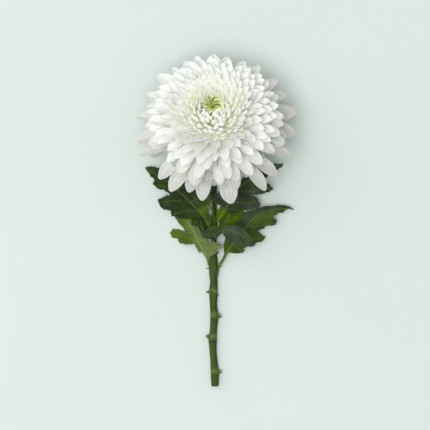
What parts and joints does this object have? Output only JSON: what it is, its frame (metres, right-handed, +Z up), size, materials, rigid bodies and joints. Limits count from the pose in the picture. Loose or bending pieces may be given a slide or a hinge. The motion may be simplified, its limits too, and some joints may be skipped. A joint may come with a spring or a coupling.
{
  "type": "disbud chrysanthemum",
  "caption": "Cut chrysanthemum lying on its back: a large white bloom with incurved and bent-back petals and a green eye, on a leafy stem, for a bouquet or a table.",
  "frame": {"origin": "middle of the whole flower's box in plan, on the table that it lies on", "axes": "+Y along the stem from its cut foot to the top of the bloom, +Z up from the table, +X to the right seen from above with the bloom at the top"},
  "size_m": [0.1297, 0.272, 0.0993],
  "materials": {
    "petal_white": "soft matt white petal",
    "eye_green": "soft yellow-green young floret",
    "calyx_green": "matt green bract",
    "stem_green": "satin green stem",
    "leaf_green": "satin dark green leaf"
  },
  "bodies": {
    "root": {"bloom_petals": "petal_white", "eye_florets": "eye_green", "calyx": "calyx_green", "stem": "stem_green", "leaf_upper_left": "leaf_green", "leaf_small_left": "leaf_green", "leaf_lower_left": "leaf_green", "leaf_lower_right": "leaf_green", "leaf_small_right": "leaf_green", "leaf_upper_right": "leaf_green", "leaf_front": "leaf_green"}
  },
  "joints": []
}
